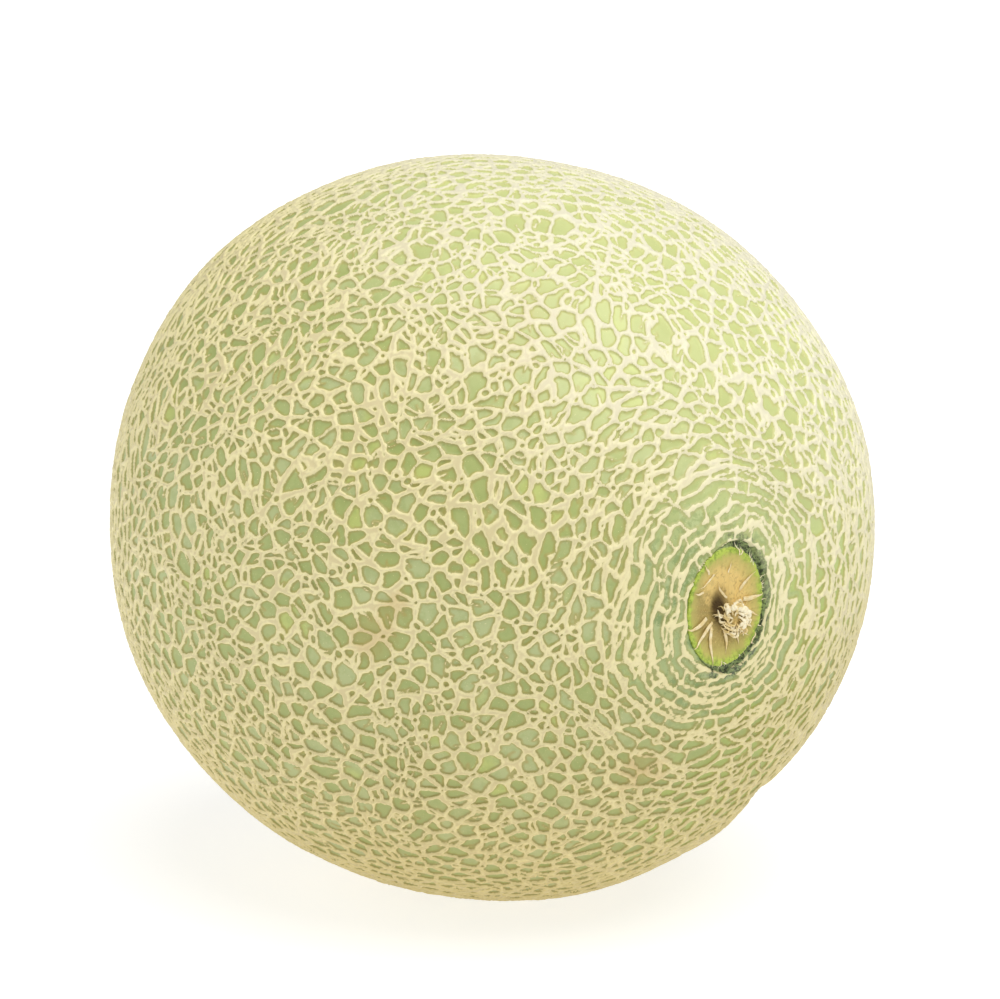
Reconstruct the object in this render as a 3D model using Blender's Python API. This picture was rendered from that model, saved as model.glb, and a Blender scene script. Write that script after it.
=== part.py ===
"""Cantaloupe melon, whole, lying on its side on a small flat resting spot.

The melon grew as one piece, so it is one solid. Its stem axis is level and runs along Y: the
stem scar faces -Y and the blossom scar faces +Y. The origin is under the middle of the melon,
on the surface it rests on. Lengths are in metres, angles in degrees.
"""

import math

import bmesh
import bpy
from mathutils import Matrix, Vector

# Body. Its surface passes over the tops of the corky net.
GIRTH_DIAMETER = 0.150
BODY_LENGTH = 0.161
REST_SPOT_RADIUS = 0.014

# Shallow furrows from the stem end to the blossom end.
FURROW_COUNT = 10
FURROW_DEPTH = 0.0003

# Stem scar: a shallow oval bowl inside a raised rim, with a wide dish around it. The slope runs
# from the rim's crest in to the flat bottom of the bowl. The lean is from upright towards +X.
STEM_SCAR_WIDTH = 0.0168
STEM_SCAR_HEIGHT = 0.0216
STEM_SCAR_LEAN = 6
STEM_SCAR_DEPTH = 0.0018
STEM_SCAR_SLOPE_WIDTH = 0.0085
STEM_RIM_HEIGHT = 0.0008
STEM_RIM_WIDTH = 0.0024
STEM_DISH_WIDTH = 0.020
STEM_DISH_DEPTH = 0.0009

# Blossom scar: a small button with a dimple in the middle.
BLOSSOM_SCAR_DIAMETER = 0.009
BLOSSOM_SCAR_HEIGHT = 0.0007
BLOSSOM_DIMPLE_DEPTH = 0.0008
BLOSSOM_EDGE_WIDTH = 0.0022

# Places where the body swells out (+) or flattens (-): degrees from the stem end, degrees round
# the stem axis from the top towards +X, height and spread.
SWELLS = {
    "front shoulder": (52, 63, 0.0006, 14),
    "flat crown": (94, 7, -0.0009, 16),
    "back shoulder": (120, -39, 0.0007, 14),
    "left flat": (123, -83, -0.0004, 13),
    "left haunch": (109, -120, 0.0003, 12),
    "front chin": (61, 178, 0.0005, 10),
    "front dimple": (53, 145, -0.0014, 5.5),
    "far cheek": (98, 96, 0.0005, 17),
    "far flat": (128, 140, -0.0005, 14),
}

# Fineness of the surface.
STEPS_ROUND = 60
BODY_RINGS = 34
FACE_RINGS = 2
SLOPE_RINGS = 6
RIM_RINGS = 2
DISH_RINGS = 3
BLOSSOM_RINGS = 4

RIND_COLOUR = (0.60, 0.56, 0.27, 1.0)
RIND_ROUGHNESS = 0.62
MERGE_DISTANCE = 0.00001
SHARP_EDGE_ANGLE = 55

girth_radius = GIRTH_DIAMETER / 2
half_length = BODY_LENGTH / 2
scar_radius = math.sqrt(STEM_SCAR_WIDTH * STEM_SCAR_HEIGHT) / 2
button_radius = BLOSSOM_SCAR_DIAMETER / 2
rest_height = math.sqrt(girth_radius**2 - REST_SPOT_RADIUS**2)


def clear_scene():
    for thing in list(bpy.data.objects):
        bpy.data.objects.remove(thing, do_unlink=True)


def ease(share):
    """Runs smoothly from 0 to 1 as share does, and stays level outside."""
    share = min(max(share, 0.0), 1.0)
    return share * share * (3 - 2 * share)


def bell(distance, width):
    """A smooth bump, 1 at no distance and 0 from one width on."""
    return 1 - ease(abs(distance) / width)


def oval_reach(radius):
    """How far along the stem axis the plain oval reaches at this distance from the axis."""
    return half_length * math.sqrt(1 - (radius / girth_radius) ** 2)


def stem_end_inset(radius):
    """How far the stem end lies inside the oval: dish, bowl and rim together."""
    dish = STEM_DISH_DEPTH * (1 - ease((radius - scar_radius) / STEM_DISH_WIDTH))
    bowl = STEM_SCAR_DEPTH * ease((scar_radius - radius) / STEM_SCAR_SLOPE_WIDTH)
    rim = STEM_RIM_HEIGHT * bell(radius - scar_radius, STEM_RIM_WIDTH)
    return dish + bowl - rim


def blossom_end_rise(radius):
    """How far the blossom end stands outside the oval: button less its dimple."""
    button = BLOSSOM_SCAR_HEIGHT * (1 - ease((radius - button_radius) / BLOSSOM_EDGE_WIDTH))
    dimple = BLOSSOM_DIMPLE_DEPTH * (1 - ease(radius / button_radius))
    return button - dimple


def even_steps(start, end, count):
    """Count values that end at end and leave out start."""
    return [start + (end - start) * step / count for step in range(1, count + 1)]


def meridian():
    """The outline that is turned about the stem axis, from stem end to blossom end."""
    face_radius = max(scar_radius - STEM_SCAR_SLOPE_WIDTH, 0.0)  # a wide slope has no flat bottom
    rim_end = scar_radius + STEM_RIM_WIDTH
    dish_end = scar_radius + STEM_DISH_WIDTH
    button_end = button_radius + BLOSSOM_EDGE_WIDTH

    stem_radii = [0.0]
    stem_radii += even_steps(0.0, face_radius, FACE_RINGS)
    stem_radii += even_steps(face_radius, scar_radius, SLOPE_RINGS)
    stem_radii += even_steps(scar_radius, rim_end, RIM_RINGS)
    stem_radii += even_steps(rim_end, dish_end, DISH_RINGS)
    outline = [(r, stem_end_inset(r) - oval_reach(r)) for r in stem_radii]

    first_angle = math.asin(dish_end / girth_radius)
    last_angle = math.pi - math.asin(button_end / girth_radius)
    for angle in even_steps(first_angle, last_angle, BODY_RINGS):
        outline.append((girth_radius * math.sin(angle), -half_length * math.cos(angle)))

    for radius in even_steps(button_end, 0.0, BLOSSOM_RINGS):
        outline.append((radius, oval_reach(radius) + blossom_end_rise(radius)))
    return outline


def direction(from_stem, turn):
    """The unit vector at these angles from the stem end and round the stem axis."""
    tilt = math.radians(from_stem)
    around = math.radians(turn)
    spread = math.sin(tilt)
    return Vector((spread * math.sin(around), -math.cos(tilt), spread * math.cos(around)))


def swell_height(towards):
    """The sum of all swells and flats in this direction from the middle of the melon."""
    total = 0.0
    for from_stem, turn, height, spread in SWELLS.values():
        away = math.degrees(towards.angle(direction(from_stem, turn)))
        total += height * math.exp(-0.5 * (away / spread) ** 2)
    return total


def furrow_depth(towards):
    """Furrow depth, greatest at the girth and nothing at either end or on the bottom line."""
    around = math.atan2(towards.x, towards.z)
    girth_share = 1 - towards.y**2
    return FURROW_DEPTH * girth_share * (0.5 - 0.5 * math.cos(FURROW_COUNT * around))


def turned_body():
    """The meridian turned about the stem axis into one closed skin."""
    body = bmesh.new()
    line = [body.verts.new((radius, along, 0.0)) for radius, along in meridian()]
    edges = [body.edges.new(pair) for pair in zip(line, line[1:])]
    bmesh.ops.spin(
        body,
        geom=line + edges,
        cent=(0.0, 0.0, 0.0),
        axis=(0.0, 1.0, 0.0),
        angle=2 * math.pi,
        steps=STEPS_ROUND,
        use_merge=True,
    )
    bmesh.ops.remove_doubles(body, verts=body.verts, dist=MERGE_DISTANCE)
    return body


def stretch_stem_end(body):
    """Draws the round stem scar out into its oval, less and less across the dish around it."""
    lean = Matrix.Rotation(math.radians(STEM_SCAR_LEAN), 3, "Y")
    across = STEM_SCAR_WIDTH / 2 / scar_radius
    upright = STEM_SCAR_HEIGHT / 2 / scar_radius
    for corner in body.verts:
        if corner.co.y > 0:
            continue
        radius = math.hypot(corner.co.x, corner.co.z)
        share = 1 - ease((radius - scar_radius) / STEM_DISH_WIDTH)
        place = lean.inverted() @ corner.co
        place.x *= 1 + (across - 1) * share
        place.z *= 1 + (upright - 1) * share
        corner.co = lean @ place


def shape_by_growth(body):
    """Pushes the skin out along each direction by the swells, less the furrows."""
    for corner in body.verts:
        towards = corner.co.normalized()
        corner.co += towards * (swell_height(towards) - furrow_depth(towards))


def cut_rest_spot(body):
    """Cuts the flat spot below and closes it with one flat face."""
    cut = bmesh.ops.bisect_plane(
        body,
        geom=body.verts[:] + body.edges[:] + body.faces[:],
        dist=MERGE_DISTANCE,
        plane_co=(0.0, 0.0, -rest_height),
        plane_no=(0.0, 0.0, -1.0),
        clear_outer=True,
    )
    rim = [item for item in cut["geom_cut"] if isinstance(item, bmesh.types.BMEdge)]
    for edge in rim:
        for corner in edge.verts:
            corner.co.z = -rest_height
    bmesh.ops.edgeloop_fill(body, edges=rim)
    bmesh.ops.recalc_face_normals(body, faces=body.faces)


def rind_material():
    material = bpy.data.materials.new("netted rind")
    material.use_nodes = True
    material.diffuse_color = RIND_COLOUR
    shader = material.node_tree.nodes["Principled BSDF"]
    shader.inputs["Base Color"].default_value = RIND_COLOUR
    shader.inputs["Roughness"].default_value = RIND_ROUGHNESS
    shader.inputs["Metallic"].default_value = 0.0
    return material


def middle_of(body, axis):
    places = [corner.co[axis] for corner in body.verts]
    return (min(places) + max(places)) / 2


def make_melon():
    body = turned_body()
    stretch_stem_end(body)
    shape_by_growth(body)
    cut_rest_spot(body)
    to_origin = Vector((-middle_of(body, 0), -middle_of(body, 1), rest_height))
    bmesh.ops.transform(body, matrix=Matrix.Translation(to_origin), verts=body.verts)

    mesh = bpy.data.meshes.new("melon")
    body.to_mesh(mesh)
    body.free()
    mesh.shade_smooth()
    mesh.set_sharp_from_angle(angle=math.radians(SHARP_EDGE_ANGLE))
    mesh.materials.append(rind_material())
    melon = bpy.data.objects.new("melon", mesh)
    bpy.context.scene.collection.objects.link(melon)
    return melon


clear_scene()
make_melon()
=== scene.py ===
import math
import random

import bmesh
import bpy
import numpy as np
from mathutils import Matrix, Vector
from mathutils.bvhtree import BVHTree


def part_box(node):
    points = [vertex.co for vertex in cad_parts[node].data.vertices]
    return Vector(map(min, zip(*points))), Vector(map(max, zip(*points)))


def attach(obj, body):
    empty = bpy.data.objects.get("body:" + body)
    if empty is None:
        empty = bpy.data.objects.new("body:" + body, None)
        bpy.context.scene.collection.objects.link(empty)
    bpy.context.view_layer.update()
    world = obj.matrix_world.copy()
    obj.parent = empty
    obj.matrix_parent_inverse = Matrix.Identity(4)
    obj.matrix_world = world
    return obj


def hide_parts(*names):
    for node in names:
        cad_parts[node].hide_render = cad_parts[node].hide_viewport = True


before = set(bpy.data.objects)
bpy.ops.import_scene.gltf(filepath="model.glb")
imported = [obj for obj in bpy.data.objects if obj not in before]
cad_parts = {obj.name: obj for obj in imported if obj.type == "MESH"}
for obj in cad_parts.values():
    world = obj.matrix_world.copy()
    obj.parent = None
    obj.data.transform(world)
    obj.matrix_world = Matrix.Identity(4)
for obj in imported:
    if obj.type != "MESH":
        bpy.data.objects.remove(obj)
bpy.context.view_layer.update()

mm = 0.001
melonLow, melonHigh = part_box("melon")
melonMiddle = np.array((melonLow + melonHigh) / 2)
stemAxis = np.array((0.0, -1.0, 0.0))


def ease(share):  # runs smoothly from 0 to 1 as share does
    share = np.clip(share, 0.0, 1.0)
    return share * share * (3 - 2 * share)


def bell(distance, width):  # 1 at no distance, 0 from one width on
    return 1 - ease(np.abs(distance) / width)


def unit(vectors):
    return vectors / np.linalg.norm(vectors, axis=-1, keepdims=True)


# waves are a smooth wandering over the skin, always the same for the same seed
def makeWaves(seed, length, count):
    dice = np.random.default_rng(seed)
    ways = unit(dice.normal(size=(count, 3)))
    lengths = length * dice.uniform(0.75, 1.35, count)
    return {
        "ways": ways * (2 * math.pi / lengths)[:, None],
        "phases": dice.uniform(0, 2 * math.pi, count),
        "pushes": dice.normal(size=(count, 3)) / math.sqrt(count),
    }


def waveValue(waves, points):  # about -1 to 1
    beat = np.sin(points @ waves["ways"].T + waves["phases"])
    return beat @ waves["pushes"][:, 0]


def wavePush(waves, points):  # a small wandering vector at each point
    beat = np.sin(points @ waves["ways"].T + waves["phases"])
    return beat @ waves["pushes"]


# the stem scar is oval, so what lies round it is laid out round and then drawn out
scar = {
    "width": 16.8 * mm,
    "height": 21.6 * mm,
    "lean": 6.0,             # degrees from upright towards +X
    "fade": 20.0 * mm,       # over which the oval turns round, outside the disc
    "openSide": 100.0,       # where the crevice round it is widest, in degrees from the top
    "openSpread": (0.55, 0.9),  # how open it is a quarter turn from there, and how fast that changes
    "pieceEdge": 11.7 * mm,  # where the scar's own piece dives under the netted skin
    "tightEdge": 9.75 * mm,  # the same on the side where the crevice closes
    "tuck": 2.2 * mm,        # how far down the netted skin goes under that piece
    "tuckReach": (0.6 * mm, 0.5 * mm),   # how far inside the edge it starts, and over what width
    "gloomReach": (11.2 * mm, 2.6 * mm),  # where the shade beside the crevice fades, and over what width
}
scarRadius = math.sqrt(scar["width"] * scar["height"]) / 2
scarLean = math.radians(scar["lean"])
scarAcross = np.array((math.cos(scarLean), 0.0, -math.sin(scarLean)))
scarUp = np.array((math.sin(scarLean), 0.0, math.cos(scarLean)))


def openShare(turn):  # 1 on the side where the crevice is open, 0 where it closes
    middle, swing = scar["openSpread"]
    return ease(middle + swing * np.cos(turn - math.radians(scar["openSide"])))


def pieceEdge(turn):
    return scar["tightEdge"] + (scar["pieceEdge"] - scar["tightEdge"]) * openShare(turn)


def turnOf(directions):  # angle round the stem from the top towards +X
    return np.arctan2(directions[:, 0], directions[:, 2])


def wayTo(tilt, turn):  # the direction at these angles from the stem and round from the top
    return np.stack([np.sin(tilt) * np.sin(turn), -np.cos(tilt), np.sin(tilt) * np.cos(turn)], -1)


def roundUp(directions, outwards=False):
    # turns the oval stem end round, or a round one back into the oval
    across = directions @ scarAcross
    up = directions @ scarUp
    radius = np.hypot(across, up) * skin["ballRadius"]
    share = (1 - ease((radius - scarRadius) / scar["fade"])) * (directions[:, 1] < 0)
    acrossScale = 1 + (scar["width"] / 2 / scarRadius - 1) * share
    upScale = 1 + (scar["height"] / 2 / scarRadius - 1) * share
    if outwards:
        across, up = across * acrossScale, up * upScale
    else:
        across, up = across / acrossScale, up / upScale
    depth = np.sqrt(np.maximum(1 - across ** 2 - up ** 2, 0)) * np.sign(directions[:, 1])
    moved = across[:, None] * scarAcross + up[:, None] * scarUp
    moved[:, 1] = depth
    return moved


# the skin is six gridded squares wrapped round a ball and glued at their edges
skin = {
    "steps": 330,             # squares along the side of each patch
    "patchGap": 0.006,        # gap between patches on the flat map
    "ballRadius": 76.5 * mm,  # the ball that the net is laid out on
    "netRoom": 0.72 * mm,     # how far the green floor lies below the solid's surface
}

# dents (-) and bumps (+), drawn out towards the stem end: degrees from the stem end, degrees round
# from the top, height, then spread across and along
dents = {
    "chin notch": (54, 150, -2.0 * mm, 1.5, 7.0),
    "chin bump": (56, 157, 0.8 * mm, 2.8, 7.0),
    "crown notch": (96, 20, -0.35 * mm, 3.0, 3.0),
    "left bump": (112, -70, 0.3 * mm, 4.0, 4.0),
    "far furrow": (88, 118, -0.5 * mm, 2.0, 14.0),
    "back furrow": (105, -150, -0.4 * mm, 2.2, 12.0),
}

# fresher green on the floors between the ridges: the same angles, then spread in degrees and strength
freshPlaces = {
    "under the scar": (33, 156, 14, 1.0),
    "beside the scar": (22, 100, 9, 0.8),
    "chin": (58, 175, 7, 0.35),
    "far shoulder": (62, 78, 9, 0.5),
    "far side": (100, 150, 14, 0.6),
    "blossom end": (165, 30, 16, 0.7),
    "left flank": (95, -100, 10, 0.35),
}

# tan smears and tinges, given in the same way
warmPlaces = {
    "flank smear": (50.6, -94, 3.0, 0.9),
    "smear beside it": (47.5, -88, 2.2, 0.9),
    "smear under the scar": (25.8, -157, 3.0, 0.8),
    "crown": (48, -26, 12, 0.45),
    "underside": (95, 178, 22, 0.6),
    "back": (150, -90, 9, 0.5),
}

# flecks of loose cork: the same angles, height, then spread in degrees
flecks = (
    (63.8, 172.0, 0.55 * mm, 0.55),
    (65.7, 175.7, 0.50 * mm, 0.45),
    (62.3, 169.0, 0.45 * mm, 0.40),
    (83.8, -158.0, 0.55 * mm, 0.50),
    (118.0, 120.0, 0.45 * mm, 0.50),
    (141.0, -30.0, 0.40 * mm, 0.45),
)


def awayFrom(directions, fromStem, turn):  # degrees between each direction and this one
    way = wayTo(math.radians(fromStem), math.radians(turn))
    return np.degrees(np.arccos(np.clip(directions @ way, -1, 1)))


def strongest(directions, places):  # the strongest of these patches in each direction
    values = np.zeros(len(directions))
    for fromStem, turn, spread, strength in places:
        away = awayFrom(directions, fromStem, turn) / spread
        values = np.maximum(values, strength * np.exp(-0.5 * away ** 2))
    return values


def patchPoints():
    steps = skin["steps"]
    line = np.tan(np.linspace(-1, 1, steps + 1) * math.pi / 4)
    across, up = np.meshgrid(line, line)
    flat = np.stack([across, up, np.ones_like(across)], -1)
    turns = [  # columns are where the patch's own x, y and z point
        [(1, 0, 0), (0, 1, 0), (0, 0, 1)],
        [(-1, 0, 0), (0, 1, 0), (0, 0, -1)],
        [(1, 0, 0), (0, 0, 1), (0, -1, 0)],
        [(-1, 0, 0), (0, 0, 1), (0, 1, 0)],
        [(0, 1, 0), (0, 0, 1), (1, 0, 0)],
        [(0, -1, 0), (0, 0, 1), (-1, 0, 0)],
    ]
    return [unit(flat @ np.array(turn, float)).reshape(-1, 3) for turn in turns]


def makeGrid():
    steps = skin["steps"]
    patches = patchPoints()
    everyPoint = np.concatenate(patches)
    fineness = 1_000_000  # points closer together than one part in this are the same point
    keys = np.round(everyPoint * fineness).astype(np.int64) + 2 * fineness
    span = 4 * fineness + 1
    keys = (keys[:, 0] * span + keys[:, 1]) * span + keys[:, 2]
    first, where = np.unique(keys, return_index=True, return_inverse=True)[1:]
    directions = everyPoint[first]

    corner = np.arange(steps * (steps + 1)).reshape(steps, steps + 1)[:, :-1].ravel()
    square = np.stack([corner, corner + 1, corner + steps + 2, corner + steps + 1], -1)
    share = np.linspace(0, 1, steps + 1)
    mapX, mapY = np.meshgrid(share, share)
    flatMap = np.stack([mapX, mapY], -1).reshape(-1, 2)
    gap = skin["patchGap"]
    faces, maps = [], []
    for number, points in enumerate(patches):
        offset = number * (steps + 1) ** 2
        a, b, c = points[square[0, 0]], points[square[0, 1]], points[square[0, 2]]
        outward = np.dot(np.cross(b - a, c - b), a) > 0
        order = square if outward else square[:, ::-1]
        faces.append(where[order + offset])
        place = np.array([(number % 3) / 3, (number // 3) / 2])
        size = np.array([1 / 3, 1 / 2])
        maps.append((place + size * (gap + flatMap * (1 - 2 * gap)))[order])
    return directions, np.concatenate(faces), np.concatenate(maps)


# the solid's surface, rounded a little, is what the looks are laid on
def makeSolidTree():
    welded = bmesh.new()
    welded.from_mesh(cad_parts["melon"].data)
    bmesh.ops.remove_doubles(welded, verts=welded.verts, dist=0.01 * mm)
    mesh = bpy.data.meshes.new("welded")
    welded.to_mesh(mesh)
    welded.free()
    copy = bpy.data.objects.new("welded", mesh)
    bpy.context.scene.collection.objects.link(copy)
    smooth = copy.modifiers.new("smooth", "SUBSURF")
    smooth.levels = smooth.render_levels = 2
    tree = BVHTree.FromObject(copy, bpy.context.evaluated_depsgraph_get())
    bpy.data.objects.remove(copy, do_unlink=True)
    bpy.data.meshes.remove(mesh)
    return tree


solidTree = makeSolidTree()


def castOntoSolid(directions):  # how far the solid reaches in each direction from its middle
    middle = Vector(melonMiddle)
    return np.array([solidTree.ray_cast(middle, way)[3] for way in directions.tolist()], float)


# the net's cells are laid out on a ball and split again and again, and their sides grow into ridges
net = {
    "seed": 11,
    "seedTries": 22000,
    "spacing": 2.9 * mm,          # between the first cells, on the body and beside the stem rings
    "stemStretch": 1.9,           # how much longer round the stem than along it the cells are there
    "stemReach": (0.30, 0.72),    # angles from the stem between which that fades, in radians
    "blossomSpacing": 2.6 * mm,   # the same three for the blossom end
    "blossomStretch": 1.9,
    "blossomReach": (0.07, 0.36),
    "leafArea": 18.0 * mm * mm,   # a cell smaller than about this isn't split again
    "leafSpread": 0.40,           # how widely that area varies from cell to cell
    "smallest": 3.6 * mm * mm,    # no split leaves a part smaller than this
    "deepest": 7,                 # how often a cell is split at most
    "cornerCuts": 0.08,           # share of splits that only cut off a corner
    "cornerDepth": (1.3 * mm, 2.3 * mm),
    "slitCuts": 0.07,             # share of splits that run close beside a side
    "slitGap": (1.35 * mm, 2.0 * mm),
    "tilts": (14, 6, 17),         # how much corner, slit and middle cuts slant, in degrees
    "spurs": 0.42,                # share of large cells with a dead-end spur
    "spurAreas": (9 * mm * mm, 15 * mm * mm),  # a cell has room for one spur for each area it passes
    "spurLength": (0.6, 1.1),     # of the way to the cell's middle
    "spurSlant": 22,
    "spurLevel": 4,
    "spurTaper": 0.75,
    "halfWidths": (0.42 * mm, 0.41 * mm, 0.37 * mm, 0.33 * mm, 0.24 * mm),  # first cells, then each split
    "heights": (0.62 * mm, 0.60 * mm, 0.56 * mm, 0.50 * mm, 0.42 * mm),
    "widthSpread": 0.17,
    "heightSpread": (0.88, 1.1),
    "stemThinning": 0.2,          # how much narrower ridges are beside the stem rings
    "bow": 0.045,                 # how much a ridge bends, as a share of its length
    "slits": 0.06,                # share of ridges that are open along their middle
    "slitOpening": (0.42 * mm, 0.72 * mm),
    "slitLength": 2.4 * mm,       # a shorter ridge has no slit
    "pits": 0.24,                 # share of corners with a pit in them
    "pitSizes": (0.24 * mm, 0.62 * mm),
    "pitWall": 0.33 * mm,         # half the width of the ring of cork round a pit
    "blend": 0.16 * mm,           # how widely ridges melt into each other
    "voxel": 4.0 * mm,            # side of the cubes that the measuring is sorted into
    "reach": 3.0 * mm,            # how far from its line a ridge is still counted
}

# rings of cork round the stem scar, and the bridges between them
rings = {
    "seed": 4,
    "radii": (11.6, 13.2, 14.9, 16.9, 19.1, 21.5, 24.2),       # in mm
    "halfWidths": (0.25, 0.26, 0.24, 0.30, 0.28, 0.33, 0.35),  # in mm
    "height": 0.5 * mm,
    "wobble": 0.44 * mm,
    "thinWobble": 0.35,        # share of that for rings thinner than thinWidth, in mm
    "thinWidth": 0.3,
    "waves": (2, 3, 4, 5, 7, 11),  # how many waves round each ring, added together
    "step": 1.9 * mm,          # length of one straight piece of a ring
    "jitter": 0.10 * mm,       # how far each piece's end strays from the ring
    "widthSpread": 0.14,
    "closedPull": 1.50 * mm,   # how much closer the first ring lies where the crevice closes
    "pullFade": 0.3,           # how fast that fades from ring to ring
    "bridgeGap": (3.2 * mm, 7.5 * mm),
    "bridgeWidth": 0.24 * mm,
    "innerLines": 0.48,        # share of stretches with a thin line between two rings
    "innerWidth": 0.85,        # how wide such a line is, as a share of a bridge
    "breaks": 0.05,            # share of steps where a ring is broken, but for the first ring
    "zone": 23.4 * mm,         # the net's own ridges stop here
}


def polarAngle(directions):
    return np.arccos(np.clip(directions @ stemAxis, -1, 1))


def makeCrowding():
    # real: angle from the stem on the melon. laid: the same on the ball where cells are even.
    real = np.linspace(1e-4, math.pi - 1e-4, 4001)
    start, end = net["stemReach"]
    stretch = 1 + (net["stemStretch"] - 1) * (1 - ease((real - start) / (end - start)))
    laid = real.copy()
    inner = real < end
    logs = np.log(real)
    steps = np.diff(logs, append=logs[-1]) * stretch
    total = np.cumsum(steps[::-1])[::-1]
    atEnd = total[np.argmin(inner)]
    laid[inner] = np.exp(np.log(end) - (total[inner] - atEnd))

    start, end = net["blossomReach"]
    back = math.pi - real
    stretch = 1 + (net["blossomStretch"] - 1) * (1 - ease((back - start) / (end - start)))
    outer = back < end
    logs = np.log(back)
    steps = -np.diff(logs, prepend=logs[0]) * stretch
    total = np.cumsum(steps)
    atEnd = total[np.argmax(outer)]
    laid[outer] = math.pi - np.exp(np.log(end) - (total[outer] - atEnd))
    return real, laid


crowdReal, crowdLaid = makeCrowding()


def moveAlong(directions, fromTable, toTable):  # towards or away from the stem, by these two tables
    angle = polarAngle(directions)
    moved = np.interp(angle, fromTable, toTable)
    across = directions - (directions @ stemAxis)[:, None] * stemAxis
    across = across / np.maximum(np.linalg.norm(across, axis=1, keepdims=True), 1e-9)
    return np.cos(moved)[:, None] * stemAxis + np.sin(moved)[:, None] * across


def firstSpacing(realAngle):
    start, end = net["blossomReach"]
    share = ease((math.pi - realAngle - start) / (end - start))
    return net["blossomSpacing"] + (net["spacing"] - net["blossomSpacing"]) * share


def scatterSeeds():
    dice = np.random.default_rng(net["seed"])
    tries = unit(dice.normal(size=(net["seedTries"], 3)))
    angles = np.interp(polarAngle(tries), crowdLaid, crowdReal)
    nearest = np.cos(firstSpacing(angles) / skin["ballRadius"])
    kept = np.zeros_like(tries)
    count = 0
    for way, closest in zip(tries, nearest):
        if count == 0 or (kept[:count] @ way).max() < closest:
            kept[count] = way
            count += 1
    return kept[:count]


def firstCells(seeds):
    hull = bmesh.new()
    for seed in seeds.tolist():
        hull.verts.new(seed)
    bmesh.ops.convex_hull(hull, input=hull.verts)
    hull.normal_update()
    hull.faces.ensure_lookup_table()
    hull.faces.index_update()
    corners = []
    for face in hull.faces:
        way = face.normal.normalized()
        corners.append(way if way.dot(face.verts[0].co) > 0 else -way)
    sides = [(corners[e.link_faces[0].index], corners[e.link_faces[1].index]) for e in hull.edges]
    cells = []
    for vert in hull.verts:
        if len(vert.link_faces) > 2:
            cells.append((vert.co.normalized(), [corners[f.index] for f in vert.link_faces]))
    hull.free()
    return sides, cells


class NetMaker:
    # collects ridges, their corners and the finished cells while the first cells are split
    def __init__(self):
        self.dice = random.Random(net["seed"])
        self.ridges = []  # start, end, level and taper, on the ball where cells are even
        self.corners = []
        self.leaves = []

    def addCell(self, middle, corners):
        self.middle = middle
        self.sideways = middle.orthogonal().normalized()
        self.upward = middle.cross(self.sideways)
        flat = []
        for corner in corners:
            depth = corner.dot(middle)
            flat.append(complex(corner.dot(self.sideways) / depth, corner.dot(self.upward) / depth))
        flat.sort(key=lambda spot: math.atan2(spot.imag, spot.real))
        angle = math.acos(max(-1, min(1, -middle.y)))
        real = float(np.interp(angle, crowdLaid, crowdReal))
        nearby = float(np.interp(real + 0.01, crowdReal, crowdLaid)) - angle
        self.shrink = (math.sin(real) / max(math.sin(angle), 1e-6)) * (0.01 / max(nearby, 1e-6))
        self.fineness = tractFineness(middle)
        self.split([spot * skin["ballRadius"] for spot in flat], 1)

    def lift(self, spot):
        spot = spot / skin["ballRadius"]
        return (self.middle + self.sideways * spot.real + self.upward * spot.imag).normalized()

    def split(self, cell, level):
        area = polygonArea(cell)
        limit = net["leafArea"] * math.exp(self.dice.gauss(0, net["leafSpread"])) * self.fineness
        if len(cell) < 3 or area * self.shrink < limit or level > net["deepest"]:
            self.finish(cell, area)
            return
        kind = self.dice.random()
        cornerTilt, slitTilt, middleTilt = net["tilts"]
        centre = sum(cell) / len(cell)
        if kind < net["cornerCuts"]:
            pivot = self.dice.randrange(len(cell))
            toCorner = cell[pivot] - centre
            size = abs(toCorner)
            depth = min(0.55 * size, self.dice.uniform(*net["cornerDepth"]))
            point = cell[pivot] - toCorner / size * depth
            normal = toCorner / size * turnBy(self.dice.gauss(0, cornerTilt))
        elif kind < net["cornerCuts"] + net["slitCuts"]:
            pivot = self.dice.randrange(len(cell))
            start, end = cell[pivot], cell[(pivot + 1) % len(cell)]
            along = (end - start) / max(abs(end - start), 1e-9)
            normal = along * 1j * turnBy(self.dice.gauss(0, slitTilt))
            inward = 1 if ((centre - start) * normal.conjugate()).real > 0 else -1
            normal = normal * inward
            point = (start + end) / 2 + normal * self.dice.uniform(*net["slitGap"])
        else:
            normal = mainWay(cell, centre) * turnBy(self.dice.gauss(0, middleTilt))
            reach = max(abs(((spot - centre) * normal.conjugate()).real) for spot in cell)
            point = centre + normal * reach * self.dice.uniform(-0.3, 0.3)
        cut = cutPolygon(cell, point, normal)
        if cut is None:
            self.finish(cell, area)
            return
        start, end, near, far = cut
        smallest = min(polygonArea(near), polygonArea(far)) * self.shrink
        if smallest < net["smallest"]:
            if self.dice.random() < 0.5 or level > net["deepest"] - 2:
                self.finish(cell, area)
            else:
                self.split(cell, level + 1)
            return
        self.ridges.append((self.lift(start), self.lift(end), level, 0.0))
        self.corners.append(self.ridges[-1][self.dice.randrange(2)])
        self.split(near, level + 1)
        self.split(far, level + 1)

    def finish(self, cell, area):
        centre = sum(cell) / len(cell)
        self.leaves.append(self.lift(centre))
        for needed in net["spurAreas"]:
            if area * self.shrink > needed and self.dice.random() < net["spurs"]:
                pivot = self.dice.randrange(len(cell))
                share = self.dice.uniform(0.2, 0.8)
                root = cell[pivot] * share + cell[(pivot + 1) % len(cell)] * (1 - share)
                inward = (centre - root) * self.dice.uniform(*net["spurLength"])
                tip = root + inward * turnBy(self.dice.gauss(0, net["spurSlant"]))
                self.ridges.append((self.lift(root), self.lift(tip), net["spurLevel"], net["spurTaper"]))


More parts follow.
